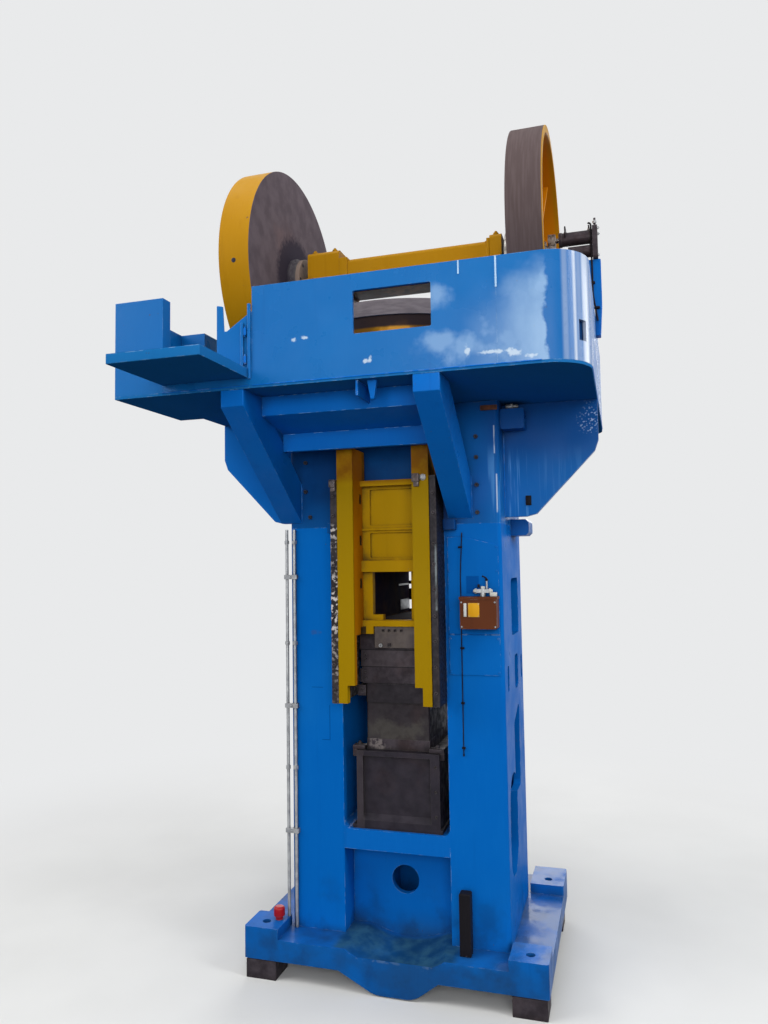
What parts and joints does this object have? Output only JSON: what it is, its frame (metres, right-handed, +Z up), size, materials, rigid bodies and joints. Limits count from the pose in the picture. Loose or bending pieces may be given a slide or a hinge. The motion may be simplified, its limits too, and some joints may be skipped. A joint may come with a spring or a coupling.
{
  "type": "friction screw press",
  "caption": "Tall blue screw press with a hollow two-column frame, sliding ram, lined flywheel in a sheet guard, and a shaft with friction discs that shifts sideways to drive it.",
  "frame": {"origin": "centre of the anchor bolt pattern on the levelling pads' underside, on the screw's axis", "axes": "+X to the right seen from the front, +Y from front to back, +Z up along the screw"},
  "size_m": [3.518, 3.87, 6.78],
  "materials": {
    "blue_paint": "glossy machine enamel, shop worn",
    "yellow_paint": "glossy machine enamel",
    "black_paint": "satin paint",
    "brown_paint": "dull brown paint, oily",
    "red_paint": "gloss paint",
    "dark_steel": "oiled and scaled tool steel",
    "turned_steel": "turned and ground",
    "greasy_steel": "greased sliding face",
    "bronze": "machined bronze",
    "friction_lining": "matt friction lining",
    "galvanised": "dull zinc"
  },
  "bodies": {
    "frame": {"base": "blue_paint", "left_upright": "blue_paint", "right_upright": "blue_paint", "crosshead": "blue_paint", "right_wing": "blue_paint", "left_wing": "blue_paint", "front_brace_left": "blue_paint", "front_brace_right": "blue_paint", "rear_brace_left": "blue_paint", "rear_brace_right": "blue_paint", "front_beam": "blue_paint", "hanger_lug": "blue_paint", "guard_floor": "blue_paint", "guard_front_wall": "blue_paint", "guard_right_wall": "blue_paint", "guard_rear_wall": "blue_paint", "guard_left_wall": "blue_paint", "access_plate": "blue_paint", "access_hinge": "blue_paint", "access_step": "blue_paint", "cylinder_bracket": "blue_paint", "upright_cover": "blue_paint", "pad_front_left": "dark_steel", "pad_front_right": "dark_steel", "pad_rear_left": "dark_steel", "pad_rear_right": "dark_steel", "tie_rod_front_left": "dark_steel", "tie_rod_rear_left": "dark_steel", "tie_rod_front_right": "dark_steel", "tie_rod_rear_right": "dark_steel", "lower_die": "dark_steel", "die_clamp_plate": "dark_steel", "bolster": "dark_steel", "shift_cylinder": "dark_steel", "guide_front_left": "greasy_steel", "guide_front_right": "greasy_steel", "guide_rear_left": "greasy_steel", "guide_rear_right": "greasy_steel", "screw_nut": "bronze", "left_side_frame": "yellow_paint", "right_side_frame": "yellow_paint", "shaft_housing": "yellow_paint", "oil_box": "brown_paint", "oil_valve": "galvanised", "oil_pipes": "galvanised", "filler_cap": "red_paint", "front_post": "black_paint"},
    "ram": {"ram": "yellow_paint", "screw_retainer": "turned_steel", "upper_die_holder": "dark_steel", "upper_die": "dark_steel"},
    "spindle": {"screw": "turned_steel", "flywheel": "yellow_paint", "flywheel_lining": "friction_lining"},
    "shift_carriage": {"thrust_cup": "turned_steel"},
    "disc_shaft": {"disc_shaft": "turned_steel", "left_hub": "turned_steel", "right_hub": "turned_steel", "left_disc": "yellow_paint", "right_disc": "yellow_paint"}
  },
  "joints": [
    {"name": "ram_slide", "type": "slide", "parent": "frame", "child": "ram", "axis": [0, 0, 1], "range_m": [0, 0.3]},
    {"name": "screw_spin", "type": "hinge", "parent": "ram", "child": "spindle", "pos_m": [0, 0, 3.4], "axis": [0, 0, 1], "range_deg": [0, 432]},
    {"name": "shaft_shift", "type": "slide", "parent": "frame", "child": "shift_carriage", "axis": [1, 0, 0], "range_m": [-0.0195, 0.0195]},
    {"name": "disc_spin", "type": "hinge", "parent": "shift_carriage", "child": "disc_shaft", "pos_m": [0, 0, 5.78], "axis": [1, 0, 0], "continuous": true}
  ],
  "couplings": [
    {"joint": "ram_slide", "follows": "screw_spin", "m_per_rad": 0.039789}
  ]
}
